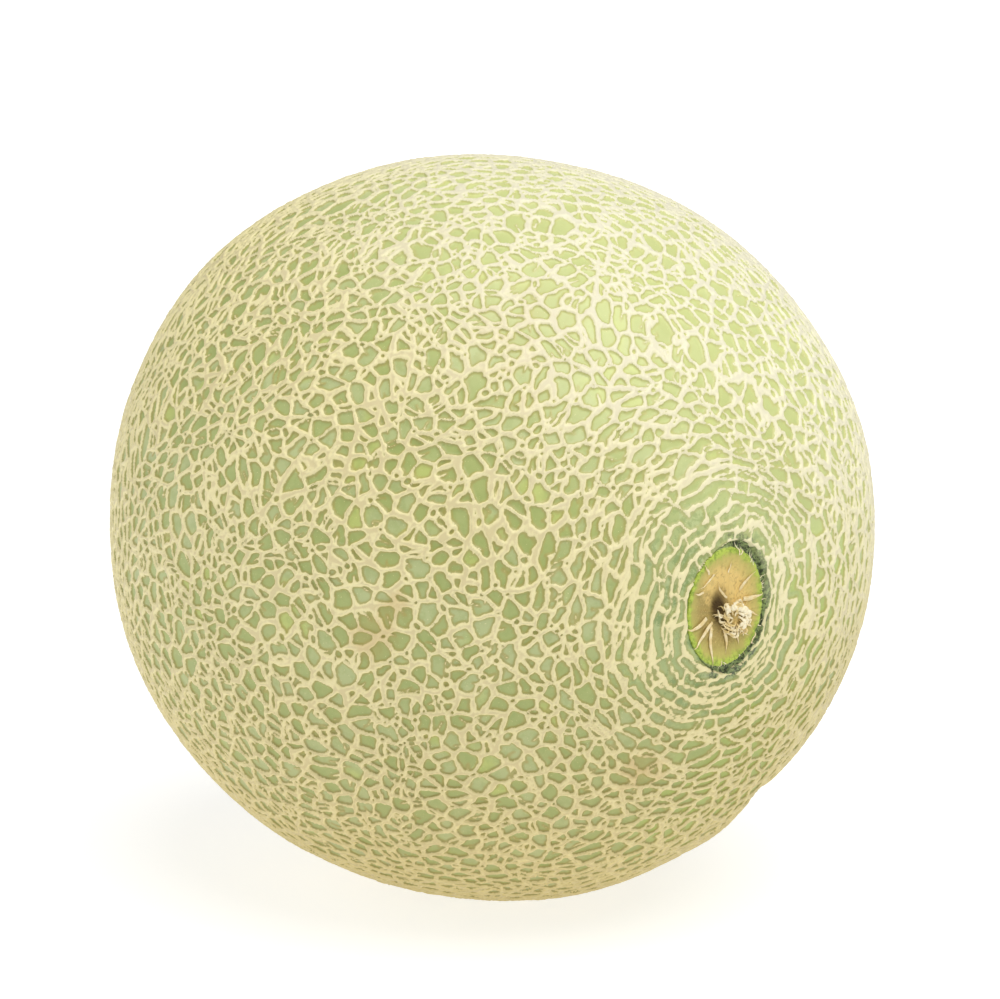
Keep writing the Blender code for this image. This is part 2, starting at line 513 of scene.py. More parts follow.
def turnBy(degrees):
    angle = math.radians(degrees)
    return complex(math.cos(angle), math.sin(angle))


def polygonArea(cell):
    total = 0.0
    for here, there in zip(cell, cell[1:] + cell[:1]):
        total += here.real * there.imag - there.real * here.imag
    return abs(total) / 2


def mainWay(cell, centre):  # the direction a cell is longest in
    total = complex(0, 0)
    for here, there in zip(cell, cell[1:] + cell[:1]):
        side = (here + there) / 2 - centre
        total += side * side * abs(there - here)
        total += (here - centre) ** 2 * 0.3 * abs(there - here)
    angle = math.atan2(total.imag, total.real) / 2
    return complex(math.cos(angle), math.sin(angle))


def cutPolygon(cell, point, normal):  # both ends of the cut, then the two parts
    heights = [((spot - point) * normal.conjugate()).real for spot in cell]
    near, far, ends = [], [], []
    for number, here in enumerate(cell):
        there = cell[(number + 1) % len(cell)]
        low, high = heights[number], heights[(number + 1) % len(cell)]
        (near if low < 0 else far).append(here)
        if (low < 0) != (high < 0):
            spot = here + (there - here) * (low / (low - high))
            near.append(spot)
            far.append(spot)
            ends.append(spot)
    if len(ends) != 2 or len(near) < 3 or len(far) < 3:
        return None
    return ends[0], ends[1], near, far


# tracts are the veins from end to end along which the cells are smaller
tracts = {"count": 10, "seed": 5, "width": 4.5 * mm, "fineness": 0.8, "reach": (22 * mm, 42 * mm)}
tractDice = random.Random(tracts["seed"])
tractTurns = [
    (n + tractDice.uniform(-0.25, 0.25)) * 2 * math.pi / tracts["count"] for n in range(tracts["count"])
]
tractStrengths = [tractDice.uniform(0.2, 1.0) for n in range(tracts["count"])]


def tractFineness(middle):  # the size of a cell here, as a share of its size between the tracts
    around = math.atan2(middle.x, middle.z)
    girth = math.hypot(middle.x, middle.z) * skin["ballRadius"]
    share = 0.0
    for turn, strength in zip(tractTurns, tractStrengths):
        away = abs((around - turn + math.pi) % (2 * math.pi) - math.pi) * girth
        share = max(share, strength * math.exp(-((away / tracts["width"]) ** 2)))
    start, end = tracts["reach"]
    return 1 - (1 - tracts["fineness"]) * share * float(ease((girth - start) / (end - start)))


def growNet():
    seeds = scatterSeeds()
    sides, cells = firstCells(seeds)
    maker = NetMaker()
    for start, end in sides:
        maker.ridges.append((start, end, 0, 0.0))
        if maker.dice.random() < 0.5:
            maker.corners.append(start)
    for middle, corners in cells:
        maker.addCell(middle, corners)
    print(f"net: {len(seeds)} first cells, {len(maker.ridges)} ridges, {len(maker.leaves)} cells")
    return maker


class RingMaker:
    # lays rings, bridges and thin lines between rings as short pieces: start, end and half width
    def __init__(self):
        self.dice = random.Random(rings["seed"])
        self.waves = [self.ringWaves() for ring in rings["radii"]]
        self.pieces = []

    def ringWaves(self):  # order, phase and size of each wave round one ring
        waves = []
        for order in rings["waves"]:
            phase = self.dice.uniform(0, 2 * math.pi)
            waves.append((order, phase, self.dice.uniform(0.4, 1.0)))
        return waves

    def radiusAt(self, number, turn):
        pull = rings["closedPull"] * (1 - float(openShare(turn))) * math.exp(-rings["pullFade"] * number)
        thin = rings["halfWidths"][number] < rings["thinWidth"]
        wobble = rings["wobble"] * (rings["thinWobble"] if thin else 1.0)
        waves = sum(size * math.sin(order * turn + phase) for order, phase, size in self.waves[number])
        return rings["radii"][number] * mm - pull + wobble * waves / 2

    def spot(self, radius, turn):  # the direction at this distance from the stem
        return wayTo(radius / skin["ballRadius"], turn)

    def addLine(self, path, halfWidth):
        for here, there in zip(path, path[1:]):
            width = halfWidth * math.exp(self.dice.gauss(0, rings["widthSpread"]))
            self.pieces.append((here, there, width))

    def addRing(self, number):
        radius = rings["radii"][number] * mm
        halfWidth = rings["halfWidths"][number] * mm
        count = round(2 * math.pi * radius / rings["step"])
        turns = [(n + self.dice.uniform(-0.2, 0.2)) * 2 * math.pi / count for n in range(count)]
        path = []
        for turn in turns:
            path.append(self.spot(self.radiusAt(number, turn) + self.dice.gauss(0, rings["jitter"]), turn))
        run = []
        for spot in path + path[:1]:
            run.append(spot)
            if self.dice.random() < rings["breaks"] * min(number, 1):
                self.addLine(run, halfWidth)
                run = []
        self.addLine(run, halfWidth)

    def addBridges(self, number):  # from this ring out to the next
        turn = self.dice.uniform(0, 0.3)
        while turn < 2 * math.pi:
            slanted = turn + self.dice.gauss(0, 0.05)
            inner = self.spot(self.radiusAt(number, turn), turn)
            outer = self.spot(self.radiusAt(number + 1, slanted), slanted)
            self.addLine([inner, outer], rings["bridgeWidth"])
            turn += self.dice.uniform(*rings["bridgeGap"]) / (rings["radii"][number] * mm)

    def addInnerLines(self, number):  # thin lines that start between two rings and run in to this one
        turn = self.dice.uniform(0, 1)
        while turn < 2 * math.pi and number > 0:
            length = self.dice.uniform(0.25, 0.7)
            if self.dice.random() < rings["innerLines"]:
                reach = self.dice.uniform(0.35, 0.65)
                steps = max(2, round(length * rings["radii"][number] * mm / rings["step"]))
                line = []
                for step in range(steps + 1):
                    here = turn + length * step / steps
                    share = reach * math.sin(math.pi * (0.12 + 0.88 * step / steps))
                    gap = self.radiusAt(number + 1, here) - self.radiusAt(number, here)
                    line.append(self.spot(self.radiusAt(number, here) + gap * share, here))
                self.addLine(line, rings["bridgeWidth"] * rings["innerWidth"])
            turn += length + self.dice.uniform(0.1, 0.6)


def growRings():
    maker = RingMaker()
    for number in range(len(rings["radii"])):
        maker.addRing(number)
        if number + 1 < len(rings["radii"]):
            maker.addBridges(number)
            maker.addInnerLines(number)
    return [np.array(column) for column in zip(*maker.pieces)]


def ridgeTable(maker):
    # every ridge of the net outside the ring zone, then the rings' pieces
    dice = np.random.default_rng(net["seed"] + 1)
    start, end, level, taper = (np.array(column) for column in zip(*maker.ridges))
    level = np.minimum(level, len(net["halfWidths"]) - 1)
    half = unit(start + end)
    start, end, half = (moveAlong(points, crowdLaid, crowdReal) for points in (start, end, half))
    width = np.array(net["halfWidths"])[level] * np.exp(dice.normal(0, net["widthSpread"], len(level)))
    height = np.array(net["heights"])[level] * dice.uniform(*net["heightSpread"], len(level))
    width = width * (1 - net["stemThinning"] * (1 - ease((polarAngle(half) - 0.3) / 0.35)))
    isOpen = (dice.uniform(0, 1, len(level)) < net["slits"]) & (level < net["spurLevel"])
    opening = np.where(isOpen, dice.uniform(*net["slitOpening"], len(level)), 0.0)

    ringStart, ringEnd, ringWidth = growRings()
    plain = np.zeros(len(ringWidth))
    kept = polarAngle(half) * skin["ballRadius"] > rings["zone"]
    start, end, half, width, taper, height, opening = (
        np.concatenate([values[kept], ringValues]) for values, ringValues in (
            (start, ringStart), (end, ringEnd), (half, unit(ringStart + ringEnd)), (width, ringWidth),
            (taper, plain), (height, plain + rings["height"]), (opening, plain)))

    centre = unit(start + end)
    along = unit(end - start)
    beside = np.cross(centre, along)
    length = np.linalg.norm(end - start, axis=1) * skin["ballRadius"]
    bow = np.sum(half * beside, axis=1) * skin["ballRadius"]
    bow = bow + length * dice.normal(0, net["bow"], len(length))
    opening = np.where(length > net["slitLength"], opening, 0.0)
    return {"centre": centre, "along": along, "beside": beside, "halfLength": length / 2, "bow": bow,
            "width": width, "taper": taper, "height": height, "opening": opening}


def pitTable(maker):
    dice = np.random.default_rng(net["seed"] + 2)
    spots = np.array(maker.corners)
    spots = spots[dice.uniform(0, 1, len(spots)) < net["pits"]]
    spots = moveAlong(spots, crowdLaid, crowdReal)
    spots = spots[polarAngle(spots) * skin["ballRadius"] > rings["zone"] + 1 * mm]
    low, high = net["pitSizes"]
    sizes = low + (high - low) * dice.uniform(0, 1, len(spots)) ** 2
    return spots * skin["ballRadius"], sizes


def voxelKeys(points):
    spots = np.floor(points / net["voxel"]).astype(np.int64) + 64
    return (spots[..., 0] * 128 + spots[..., 1]) * 128 + spots[..., 2]


def byVoxel(spots, owners, reach):  # which owners have a spot within reach of each voxel
    steps = np.array([-1, 0, 1]) * reach
    offsets = np.stack(np.meshgrid(steps, steps, steps), -1).reshape(-1, 3)
    keys = voxelKeys(spots[:, None, :] + offsets[None]).ravel()
    pairs = np.unique(np.stack([keys, np.repeat(owners, len(offsets))], -1), axis=0)
    places, firsts = np.unique(pairs[:, 0], return_index=True)
    bounds = np.append(firsts, len(pairs))
    return {int(place): pairs[bounds[n]:bounds[n + 1], 1] for n, place in enumerate(places)}


# straight lines wander a little, so that the net looks grown: each set's seed, length, count and size
wander = ((21, 24 * mm, 7, 1.2 * mm), (22, 6.0 * mm, 9, 0.26 * mm), (23, 2.1 * mm, 9, 0.10 * mm))


def wanderOff(points):
    push = sum(size * wavePush(makeWaves(*waves), points) for *waves, size in wander)
    return unit(points + push) * skin["ballRadius"]


def measureNet(directions, maker):
    # how deep each point lies inside the nearest ridge, that ridge's height, and the cell it is in
    points = wanderOff(directions * skin["ballRadius"])
    widthWaves = 1 + 0.15 * waveValue(makeWaves(24, 5 * mm, 8), points)
    table = ridgeTable(maker)
    shares = np.linspace(-1, 1, 5)
    ridgeSpots = (table["centre"] * skin["ballRadius"])[:, None] + (
        table["along"] * table["halfLength"][:, None])[:, None] * shares[None, :, None]
    ridgeOwners = np.repeat(np.arange(len(ridgeSpots)), len(shares))
    ridgesIn = byVoxel(ridgeSpots.reshape(-1, 3), ridgeOwners, net["reach"])
    leafSpots = moveAlong(np.array(maker.leaves), crowdLaid, crowdReal) * skin["ballRadius"]
    leavesIn = byVoxel(leafSpots, np.arange(len(leafSpots)), net["voxel"])
    pitSpots, pitSizes = pitTable(maker)
    pitsIn = byVoxel(pitSpots, np.arange(len(pitSpots)), net["reach"])

    keys = voxelKeys(points)
    order = np.argsort(keys, kind="stable")
    places, firsts = np.unique(keys[order], return_index=True)
    bounds = np.append(firsts, len(order))
    count = len(points)
    edge = np.full(count, -3.0 * mm, np.float32)
    height = np.full(count, net["heights"][2], np.float32)
    leafOf = np.zeros(count, np.int64)
    sharp = np.float32(1 / net["blend"])
    small = {name: values.astype(np.float32) for name, values in table.items()}
    points32 = points.astype(np.float32)
    pits32 = pitSpots.astype(np.float32)
    leaves32 = leafSpots.astype(np.float32)
    for number, place in enumerate(places):
        chosen = order[bounds[number]:bounds[number + 1]]
        here = points32[chosen]
        near = leavesIn.get(int(place))
        if near is not None:
            gaps = ((here[:, None, :] - leaves32[near][None]) ** 2).sum(-1)
            leafOf[chosen] = near[np.argmin(gaps, axis=1)]
        mine = ridgesIn.get(int(place))
        if mine is None:
            continue
        halfLength = small["halfLength"][mine]
        x = here @ small["along"][mine].T
        y = here @ small["beside"][mine].T
        share = np.clip(x / halfLength, -1, 1)
        # each ridge bows a little, and a slit one is two lines that part in the middle
        arch = 1 - share * share
        y = y - small["bow"][mine] * arch
        opening = small["opening"][mine] * arch
        y = np.abs(np.abs(y) - opening)
        beyond = np.maximum(np.abs(x) - halfLength, 0)
        distance = np.sqrt(beyond * beyond + y * y)
        width = small["width"][mine] * (1 - small["taper"][mine] * (share + 1) / 2) - 0.3 * opening
        inside = width * widthWaves[chosen][:, None].astype(np.float32) - distance
        # ridges that meet melt into each other
        weight = np.exp(np.maximum(inside * sharp, -60))
        total = weight.sum(1)
        edge[chosen] = np.log(total) / sharp
        height[chosen] = (weight * small["height"][mine]).sum(1) / total
        pits = pitsIn.get(int(place))
        if pits is not None:
            gap = np.linalg.norm(here[:, None, :] - pits32[pits][None], axis=-1)
            nearest = np.argmin(gap - pitSizes[pits][None], axis=1)
            gap = gap[np.arange(len(here)), nearest] * (2 - widthWaves[chosen])
            size = pitSizes[pits][nearest]
            wall = net["pitWall"] - np.abs(gap - size - net["pitWall"])
            edge[chosen] = np.maximum(edge[chosen], wall)
            edge[chosen] = np.minimum(edge[chosen], gap - size)
    return edge.clip(-3 * mm, 3 * mm), height, leafOf


def addAttribute(mesh, name, values):
    layer = mesh.attributes.new(name, "FLOAT", "POINT")
    layer.data.foreach_set("value", np.ascontiguousarray(values, dtype=np.float32))


# how a ridge rises from its edge, and how rough the skin is
ridgeShape = {
    "raggedness": 0.07 * mm,  # how much the ridges' edges waver
    "footing": 0.16 * mm,     # how far outside its edge a ridge starts to rise
    "flank": 0.46 * mm,       # the width over which it rises
    "crownStart": 0.26 * mm,  # how far inside its edge it starts to sink again
    "crownWidth": 0.30 * mm,
    "crownDrop": 0.10 * mm,
    "roughness": 0.025 * mm,
    "toneSeed": 77,           # draws each cell's own tone
}

blossomPad = {
    "radius": 3.6 * mm,
    "wobble": 0.5 * mm,
    "fade": 0.5 * mm,          # the width over which its edge falls away
    "netGap": 4.3 * mm,        # the net's ridges stop this far from its middle
    "height": 0.25 * mm,
    "pimples": 0.07 * mm,
    "crackDepth": 0.22 * mm,
    "crackWidth": 0.28,        # as a share of half the way from crack to crack
    "grooveDepth": 0.30 * mm,
    "grooveReach": (0.4 * mm, 0.7 * mm),  # from the pad's edge to its middle, and half its width
    "dimpleDepth": 0.35 * mm,
    "dimpleRadius": 1.3 * mm,
}


def dentRelief(directions):  # all dents and bumps together
    fromStem = np.degrees(polarAngle(directions))
    turns = np.degrees(turnOf(directions))
    total = np.zeros(len(directions))
    for middleAngle, middleTurn, height, across, along in dents.values():
        aside = ((turns - middleTurn + 180) % 360 - 180) * math.sin(math.radians(middleAngle))
        onward = fromStem - middleAngle
        total += height * np.exp(-0.5 * ((aside / across) ** 2 + (onward / along) ** 2))
    return total


def blossomRelief(fromBlossom, turn, points):
    # height of the corky pad, how far each point is on it, and how much of it is bruised
    padEdge = blossomPad["radius"] + blossomPad["wobble"] * np.sin(3 * turn + 1) * np.sin(5 * turn)
    onPad = 1 - ease((fromBlossom - padEdge) / blossomPad["fade"])
    cracks = np.abs(np.sin(3.5 * turn + 0.6 * np.sin(2 * turn) + fromBlossom / mm * 0.35))
    cracks = (1 - ease(cracks / blossomPad["crackWidth"])) * ease(fromBlossom / (1.2 * mm)) * onPad
    reach, halfWidth = blossomPad["grooveReach"]
    groove = bell(fromBlossom - padEdge - reach, halfWidth)
    dimple = bell(fromBlossom, blossomPad["dimpleRadius"])
    pimples = waveValue(makeWaves(41, 1.0 * mm, 12), points)
    relief = onPad * (blossomPad["height"] + blossomPad["pimples"] * pimples)
    relief -= blossomPad["crackDepth"] * cracks + blossomPad["grooveDepth"] * groove
    relief -= blossomPad["dimpleDepth"] * dimple
    return relief, onPad, np.maximum(np.maximum(cracks, groove), dimple)


def skinMesh(places, faces, flatMap):
    mesh = bpy.data.meshes.new("netted-skin")
    mesh.vertices.add(len(places))
    mesh.vertices.foreach_set("co", places.astype(np.float32).ravel())
    mesh.loops.add(faces.size)
    mesh.loops.foreach_set("vertex_index", faces.astype(np.int32).ravel())
    mesh.polygons.add(len(faces))
    mesh.polygons.foreach_set("loop_start", np.arange(0, faces.size, 4, dtype=np.int32))
    layer = mesh.uv_layers.new(name="OFBake")
    layer.data.foreach_set("uv", flatMap.astype(np.float32).ravel())
    mesh.update(calc_edges=True)
    mesh.shade_smooth()
    return mesh


def makeSkin():
    directions, faces, flatMap = makeGrid()
    print(f"skin: {len(directions)} points, {len(faces)} squares")
    reach = castOntoSolid(directions)
    print("skin: measured the solid")
    maker = growNet()
    points = directions * skin["ballRadius"]
    roundWays = roundUp(directions)
    turn = turnOf(roundWays)
    fromStem = polarAngle(roundWays) * skin["ballRadius"]
    fromBlossom = math.pi * skin["ballRadius"] - fromStem

    edge, height, leafOf = measureNet(roundWays, maker)
    edge = edge + ridgeShape["raggedness"] * waveValue(makeWaves(32, 1.1 * mm, 10), points)
    edge = np.minimum(edge, fromBlossom - blossomPad["netGap"])
    ridge = ease((edge + ridgeShape["footing"]) / ridgeShape["flank"])
    crown = ease((edge - ridgeShape["crownStart"]) / ridgeShape["crownWidth"])
    relief = height * ridge - ridgeShape["crownDrop"] * crown
    relief += ridgeShape["roughness"] * waveValue(makeWaves(31, 1.3 * mm, 12), points) * ridge
    padRelief, onPad, bruise = blossomRelief(fromBlossom, turnOf(directions), points)
    relief += dentRelief(directions) + padRelief

    fresh = strongest(directions, freshPlaces.values())
    warm = strongest(directions, warmPlaces.values())
    for fromStemAngle, fleckTurn, fleckHeight, spread in flecks:
        fleck = np.exp(-(awayFrom(directions, fromStemAngle, fleckTurn) / spread) ** 4)
        relief += fleckHeight * fleck
        edge = np.maximum(edge, fleck * mm - 0.5 * mm)  # so that it is painted as cork
        warm = np.maximum(warm, 1.6 * fleck)
    # painted shade: the floors beside the open crevice are darkened
    start, width = scar["gloomReach"]
    gloom = openShare(turn) * (1 - ease((fromStem - start) / width))
    start, width = scar["tuckReach"]
    tucked = 1 - ease((fromStem - pieceEdge(turn) + start) / width)

    radius = reach - skin["netRoom"] + relief - scar["tuck"] * tucked
    places = melonMiddle + directions * radius[:, None]
    places[:, 2] = np.maximum(places[:, 2], melonLow.z)
    mesh = skinMesh(places, faces, flatMap)
    tones = np.random.default_rng(ridgeShape["toneSeed"]).uniform(0, 1, len(maker.leaves))
    layers = {
        "edge": edge / mm, "tone": tones[leafOf], "fresh": fresh, "warm": warm,
        "pad": onPad, "bruise": bruise, "gloom": gloom, "fromStem": fromStem / mm,
    }
    for name, values in layers.items():
        addAttribute(mesh, name, values)
    piece = bpy.data.objects.new("netted-skin", mesh)
    bpy.context.scene.collection.objects.link(piece)
    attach(piece, "root")
    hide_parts("melon")
    print("skin: built")
    return piece


# the stem scar is a finely meshed disc, with a crinkled green lip and a crevice round it
scarFace = {
    "circles": 140,
    "spokes": 460,
    "lip": 1.0 * mm,                         # width of the green lip
    "lipHeight": 0.20 * mm,
    "crinkle": 0.16 * mm,
    "creviceWidth": (0.02 * mm, 1.5 * mm),   # where it closes and where it is open
    "creviceDepth": (0.05 * mm, 0.75 * mm),
    "creviceBanks": (0.25 * mm, 0.5 * mm),   # widths of its inner and outer bank
    "gloomBanks": (0.15 * mm, 0.6 * mm),     # the same for the painted shade in it
    "hollow": (0.0, -0.6, 1.4, 2.3),         # across, up, depth and spread, in mm
    "core": (2.6, -2.2, 1.4, 3.3),           # the same for the mound under the torn core
    "wrinkle": 0.13 * mm,
    "tuck": 1.3 * mm,                        # how far down the disc's rim goes under the netted skin
    "tuckReach": (0.35 * mm, 0.5 * mm),      # how far inside the edge it starts, and over what width
}


def scarRelief(radius, turn):
    # height over the bare skin, and how far each point is crevice, hollow, painted-light gold and so on
    openSide = openShare(turn)
    crinkle = (np.sin(29 * turn + 1.3 + np.sin(5 * turn)) + np.sin(43 * turn + 0.4 + np.sin(7 * turn))
               + np.sin(13 * turn + 2.0) + 0.7 * np.sin(83 * turn + 2 * np.sin(11 * turn))) / 3.2
    lipEdge = scarRadius + scarFace["crinkle"] * crinkle
    narrow, wide = scarFace["creviceWidth"]
    shallow, deep = scarFace["creviceDepth"]
    outerEdge = lipEdge + narrow + (wide - narrow) * openSide * (1 + 0.25 * np.sin(9 * turn + 1))
    inner, outer = scarFace["creviceBanks"]
    crevice = ease((radius - lipEdge) / inner) * (1 - ease((radius - outerEdge) / outer))
    bankEnd = outerEdge + outer
    # painted shade: how far each point is darkened in and just past the crevice
    inner, outer = scarFace["gloomBanks"]
    gloom = ease((radius - lipEdge) / inner) * (1 - ease((radius - bankEnd) / outer))
    lip = bell(radius - lipEdge + scarFace["lip"] * 0.4, scarFace["lip"])
    inside = 1 - ease((radius - lipEdge + 0.9 * scarFace["lip"]) / scarFace["lip"])
    across = radius * np.sin(turn) / mm
    up = radius * np.cos(turn) / mm
    x, z, depth, spread = scarFace["hollow"]
    hollow = np.exp(-((across - x) / spread) ** 2 - ((up - z) / spread / 1.6) ** 2)
    relief = -depth * mm * hollow * inside
    x, z, height, spread = scarFace["core"]
    fromCore = np.hypot(across - x, up - z)
    core = np.exp(-((fromCore / spread) ** 2))
    relief += height * mm * core * inside
    ray = np.arctan2(across - x, up - z)
    wrinkle = (np.sin(19 * ray + 0.7) + np.sin(31 * ray + 2.1 + 0.3 * fromCore) + np.sin(47 * ray)) / 3
    relief += scarFace["wrinkle"] * wrinkle * inside * ease(fromCore / 3)
    relief += scarFace["lipHeight"] * lip * (1 + 0.5 * crinkle)
    relief -= (shallow + (deep - shallow) * openSide) * crevice
    start, width = scarFace["tuckReach"]
    relief -= scarFace["tuck"] * ease((radius - pieceEdge(turn) + start) / width)
    # painted light: the face goes from olive to a lighter gold towards its upper right, where the light
    # falls
    litGold = ease(0.55 + 0.11 * (across * 0.55 + up * 0.85))
    marks = {
        "crevice": gloom * openSide, "hollow": hollow * inside, "litGold": litGold,
        "wrinkle": wrinkle, "crinkle": crinkle, "fromEdge": (radius - scarRadius) / mm,
    }
    return relief, marks


def onScar(directions):  # places on the scar's surface in these directions from the melon's middle
    roundWays = roundUp(directions)
    radius = polarAngle(roundWays) * skin["ballRadius"]
    relief, marks = scarRelief(radius, turnOf(roundWays))
    reach = castOntoSolid(directions) - skin["netRoom"] + relief
    return melonMiddle + directions * reach[:, None], marks


def makeScar():
    circles, spokes = scarFace["circles"], scarFace["spokes"]
    outermost = scar["pieceEdge"] + 0.5 * mm
    radii = np.linspace(0, outermost, circles + 1)[1:]
    turns = np.arange(spokes) * 2 * math.pi / spokes
    radius, turn = (values.ravel() for values in np.meshgrid(radii, turns, indexing="ij"))
    ways = np.concatenate([wayTo(radius / skin["ballRadius"], turn), [stemAxis]])
    place, marks = onScar(roundUp(ways, outwards=True))

    mesh = bpy.data.meshes.new("stem-scar")
    here = np.arange((circles - 1) * spokes).reshape(circles - 1, spokes)
    beside = np.roll(here, -1, axis=1)
    squares = np.stack([here, here + spokes, beside + spokes, beside], -1).reshape(-1, 4)
    first = np.arange(spokes)
    fan = np.stack([np.full(spokes, len(place) - 1), first, np.roll(first, -1)], -1)
    mesh.from_pydata(place.tolist(), [], fan[:, ::-1].tolist() + squares[:, ::-1].tolist())
    mesh.shade_smooth()
    if mesh.polygons[0].normal.y > 0:
        mesh.flip_normals()
    for name, values in marks.items():
        addAttribute(mesh, name, values)
    return addPiece("stem-scar", mesh)


def addPiece(name, mesh):
    piece = bpy.data.objects.new(name, mesh)
    bpy.context.scene.collection.objects.link(piece)
    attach(piece, "root")
    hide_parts("melon")
    print(f"{name}: {len(mesh.polygons)} faces")
    return piece


# the fibres are tapered strands that were torn off with the stem
strand = {
    "sides": 8,
    "points": 16,
    "flatness": 0.5,
    "lift": 0.20 * mm,   # how far a fibre's root stands off the scar
    "arch": 0.14 * mm,
    "paleness": 0.45,
    "stiffness": 0.6,    # how far a strand spans small dips instead of following them
    "reach": 77.0,       # from the melon's middle to the scar, in mm
}

# from and to, across and up from the middle of the scar, then width and sideways bend, all in mm
fibres = (
    (-3.4, -2.0, -9.4, -3.0, 1.05, 0.6),
    (-1.8, -3.2, -7.4, -7.8, 0.95, -0.5),
    (-2.2, -3.8, -2.7, -11.0, 0.85, -0.5),
    (0.5, -4.4, 0.5, -9.0, 0.90, 0.2),
    (2.4, -4.6, 3.2, -7.6, 0.70, 0.2),
    (3.4, -4.0, 5.2, -6.1, 0.75, -0.2),
    (4.4, 0.8, 8.4, 1.5, 1.15, -0.3),
    (4.6, -1.6, 7.4, -2.7, 0.75, 0.2),
    (3.8, 2.4, 6.7, 5.7, 0.80, 0.3),
    (-2.2, 6.4, -6.0, 4.0, 0.45, 0.5),
    (-3.4, 6.6, -4.9, 8.6, 0.60, 0.1),
    (-4.4, 3.2, -7.0, 3.4, 0.60, 0.2),
    (1.6, 1.2, -0.6, 4.6, 0.60, 0.3),
    (1.3, 6.2, 1.6, 8.4, 0.40, 0.1),
    (-10.4, -2.4, -7.7, -7.0, 0.42, 0.5),
    (5.6, -7.6, 9.8, -3.6, 0.34, 0.3),
)


class StrandMaker:
    # gathers tapered strands into one mesh
    def __init__(self):
        self.places, self.faces, self.tones = [], [], []

    def add(self, path, outward, widths, tone):
        sides = strand["sides"]
        along = unit(np.gradient(path, axis=0))
        beside = unit(np.cross(along, outward))
        above = np.cross(beside, along)
        turns = np.arange(sides) * 2 * math.pi / sides
        ring = (np.cos(turns)[None, :, None] * beside[:, None]
                + np.sin(turns)[None, :, None] * above[:, None] * strand["flatness"])
        first = len(self.places)
        self.places += (path[:, None] + ring * widths[:, None, None] / 2).reshape(-1, 3).tolist()
        self.tones += [tone] * (len(path) * sides)
        for row in range(len(path) - 1):
            for side in range(sides):
                a = first + row * sides + side
                b = first + row * sides + (side + 1) % sides
                self.faces.append((a, b, b + sides, a + sides))
        last = first + (len(path) - 1) * sides
        self.faces.append(tuple(range(first, first + sides))[::-1])
        self.faces.append(tuple(range(last, last + sides)))

    def finish(self, name):
        mesh = bpy.data.meshes.new(name)
        mesh.from_pydata(self.places, [], self.faces)
        mesh.shade_smooth()
        fixed = bmesh.new()
        fixed.from_mesh(mesh)
        bmesh.ops.recalc_face_normals(fixed, faces=fixed.faces)
        fixed.to_mesh(mesh)
        fixed.free()
        addAttribute(mesh, "pale", np.array(self.tones))
        return addPiece(name, mesh)


def faceWays(across, up):  # directions to places on the scar, in mm from its middle
    return unit(np.stack([across, np.full_like(across, -strand["reach"]), up], -1))


def layStrand(maker, start, end, width, bend, lift, arch, tone, blunt=False):
    # a strand that lies on the scar from start to end, risen by lift and arched by arch
    share = np.linspace(0, 1, strand["points"])
    start, end = np.array(start), np.array(end)
    along = end - start
    sideways = np.array((-along[1], along[0])) / max(np.linalg.norm(along), 1e-6)
    curve = np.sin(math.pi * share) * bend + 0.06 * np.sin(9 * share + 5 * start[0])
    spots = start + along * share[:, None] + sideways * curve[:, None]
    ways = faceWays(spots[:, 0], spots[:, 1])
    ground = onScar(ways)[0]
    depth = np.linalg.norm(ground - melonMiddle, axis=1)
    line = np.polyval(np.polyfit(share, depth, 2), share)
    stiffness = strand["stiffness"]
    depth = np.maximum(depth, line * stiffness + depth * (1 - stiffness))
    middle = np.sin(math.pi * share)  # 0 at both ends, 1 halfway
    depth += lift * (1 - 0.7 * share) + arch * middle
    path = melonMiddle + ways * depth[:, None]
    if blunt:
        widths = width * mm * (0.72 + 0.28 * middle - 0.25 * share ** 6)
    else:
        widths = width * mm * np.maximum(1 - share ** 1.7, 0.12) * (0.75 + 0.25 * middle)
    maker.add(path, ways, widths, tone)


def makeFibres():
    maker = StrandMaker()
    rise = (strand["lift"], strand["arch"], strand["paleness"])
    for fibre in fibres:
        layStrand(maker, fibre[0:2], fibre[2:4], *fibre[4:6], *rise)
    return maker.finish("scar-fibres")


# how many strands of each kind the torn core has
core = {
    "seed": 9,
    "wall": 22,     # thick stubs round its upper right
    "curls": 58,
    "wisps": 14,    # thin ones, mostly down and to the left
    "threads": 17,  # short ones across the crevice round the scar
}


